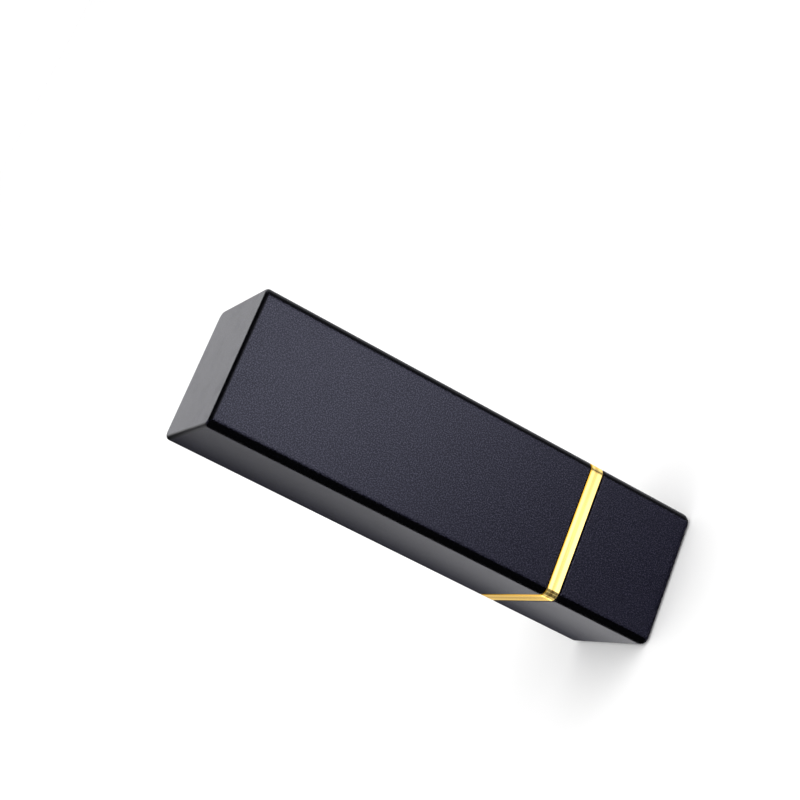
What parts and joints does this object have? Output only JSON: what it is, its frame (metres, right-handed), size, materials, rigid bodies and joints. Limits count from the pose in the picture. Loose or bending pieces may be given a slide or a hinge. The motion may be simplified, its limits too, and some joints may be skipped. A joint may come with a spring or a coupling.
{
  "type": "lipstick case",
  "caption": "Square lipstick case with a matt black pull-off cap and twist base, a gold band, a round gold collar and a twist-up cup.",
  "frame": {"origin": "centre of the base's underside, on the surface that the closed case stands on", "axes": "+Z along the case from the base towards the cap; X and Y square to the flat sides; the cup's lugs lie along X"},
  "size_m": [0.021, 0.021, 0.0738],
  "materials": {
    "soft_touch_black": "fine-grained soft-touch lacquer on ABS",
    "label": "blank satin label film",
    "plated_steel": "zinc-plated steel",
    "moulded_black": "satin moulded plastic",
    "natural_plastic": "natural white acetal",
    "silicone": "greased silicone",
    "gold_anodised": "satin gold anodised",
    "gold_polished": "polished gold",
    "gloss_black": "glossy moulded plastic"
  },
  "bodies": {
    "base": {"base_shell": "soft_touch_black", "label_disc": "label", "base_weight": "plated_steel", "base_insert": "moulded_black", "guide_tube": "natural_plastic", "brake_ring": "silicone"},
    "sleeve": {"gold_band": "gold_polished", "collar_tube": "gold_anodised", "spiral_sleeve": "natural_plastic"},
    "cup": {"cup": "gloss_black"},
    "cap": {"cap_shell": "soft_touch_black", "cap_liner": "moulded_black"}
  },
  "joints": [
    {"name": "twist", "type": "hinge", "parent": "base", "child": "sleeve", "pos_m": [0, 0, 0.0168], "axis": [0, 0, 1], "range_deg": [0, 540]},
    {"name": "cup_rise", "type": "slide", "parent": "base", "child": "cup", "axis": [0, 0, 1], "range_m": [0, 0.024]},
    {"name": "cap_slide", "type": "slide", "parent": "sleeve", "child": "cap", "axis": [0, 0, 1], "range_m": [0, 0.045]}
  ],
  "couplings": [
    {"joint": "cup_rise", "follows": "twist", "m_per_rad": 0.0025464}
  ]
}
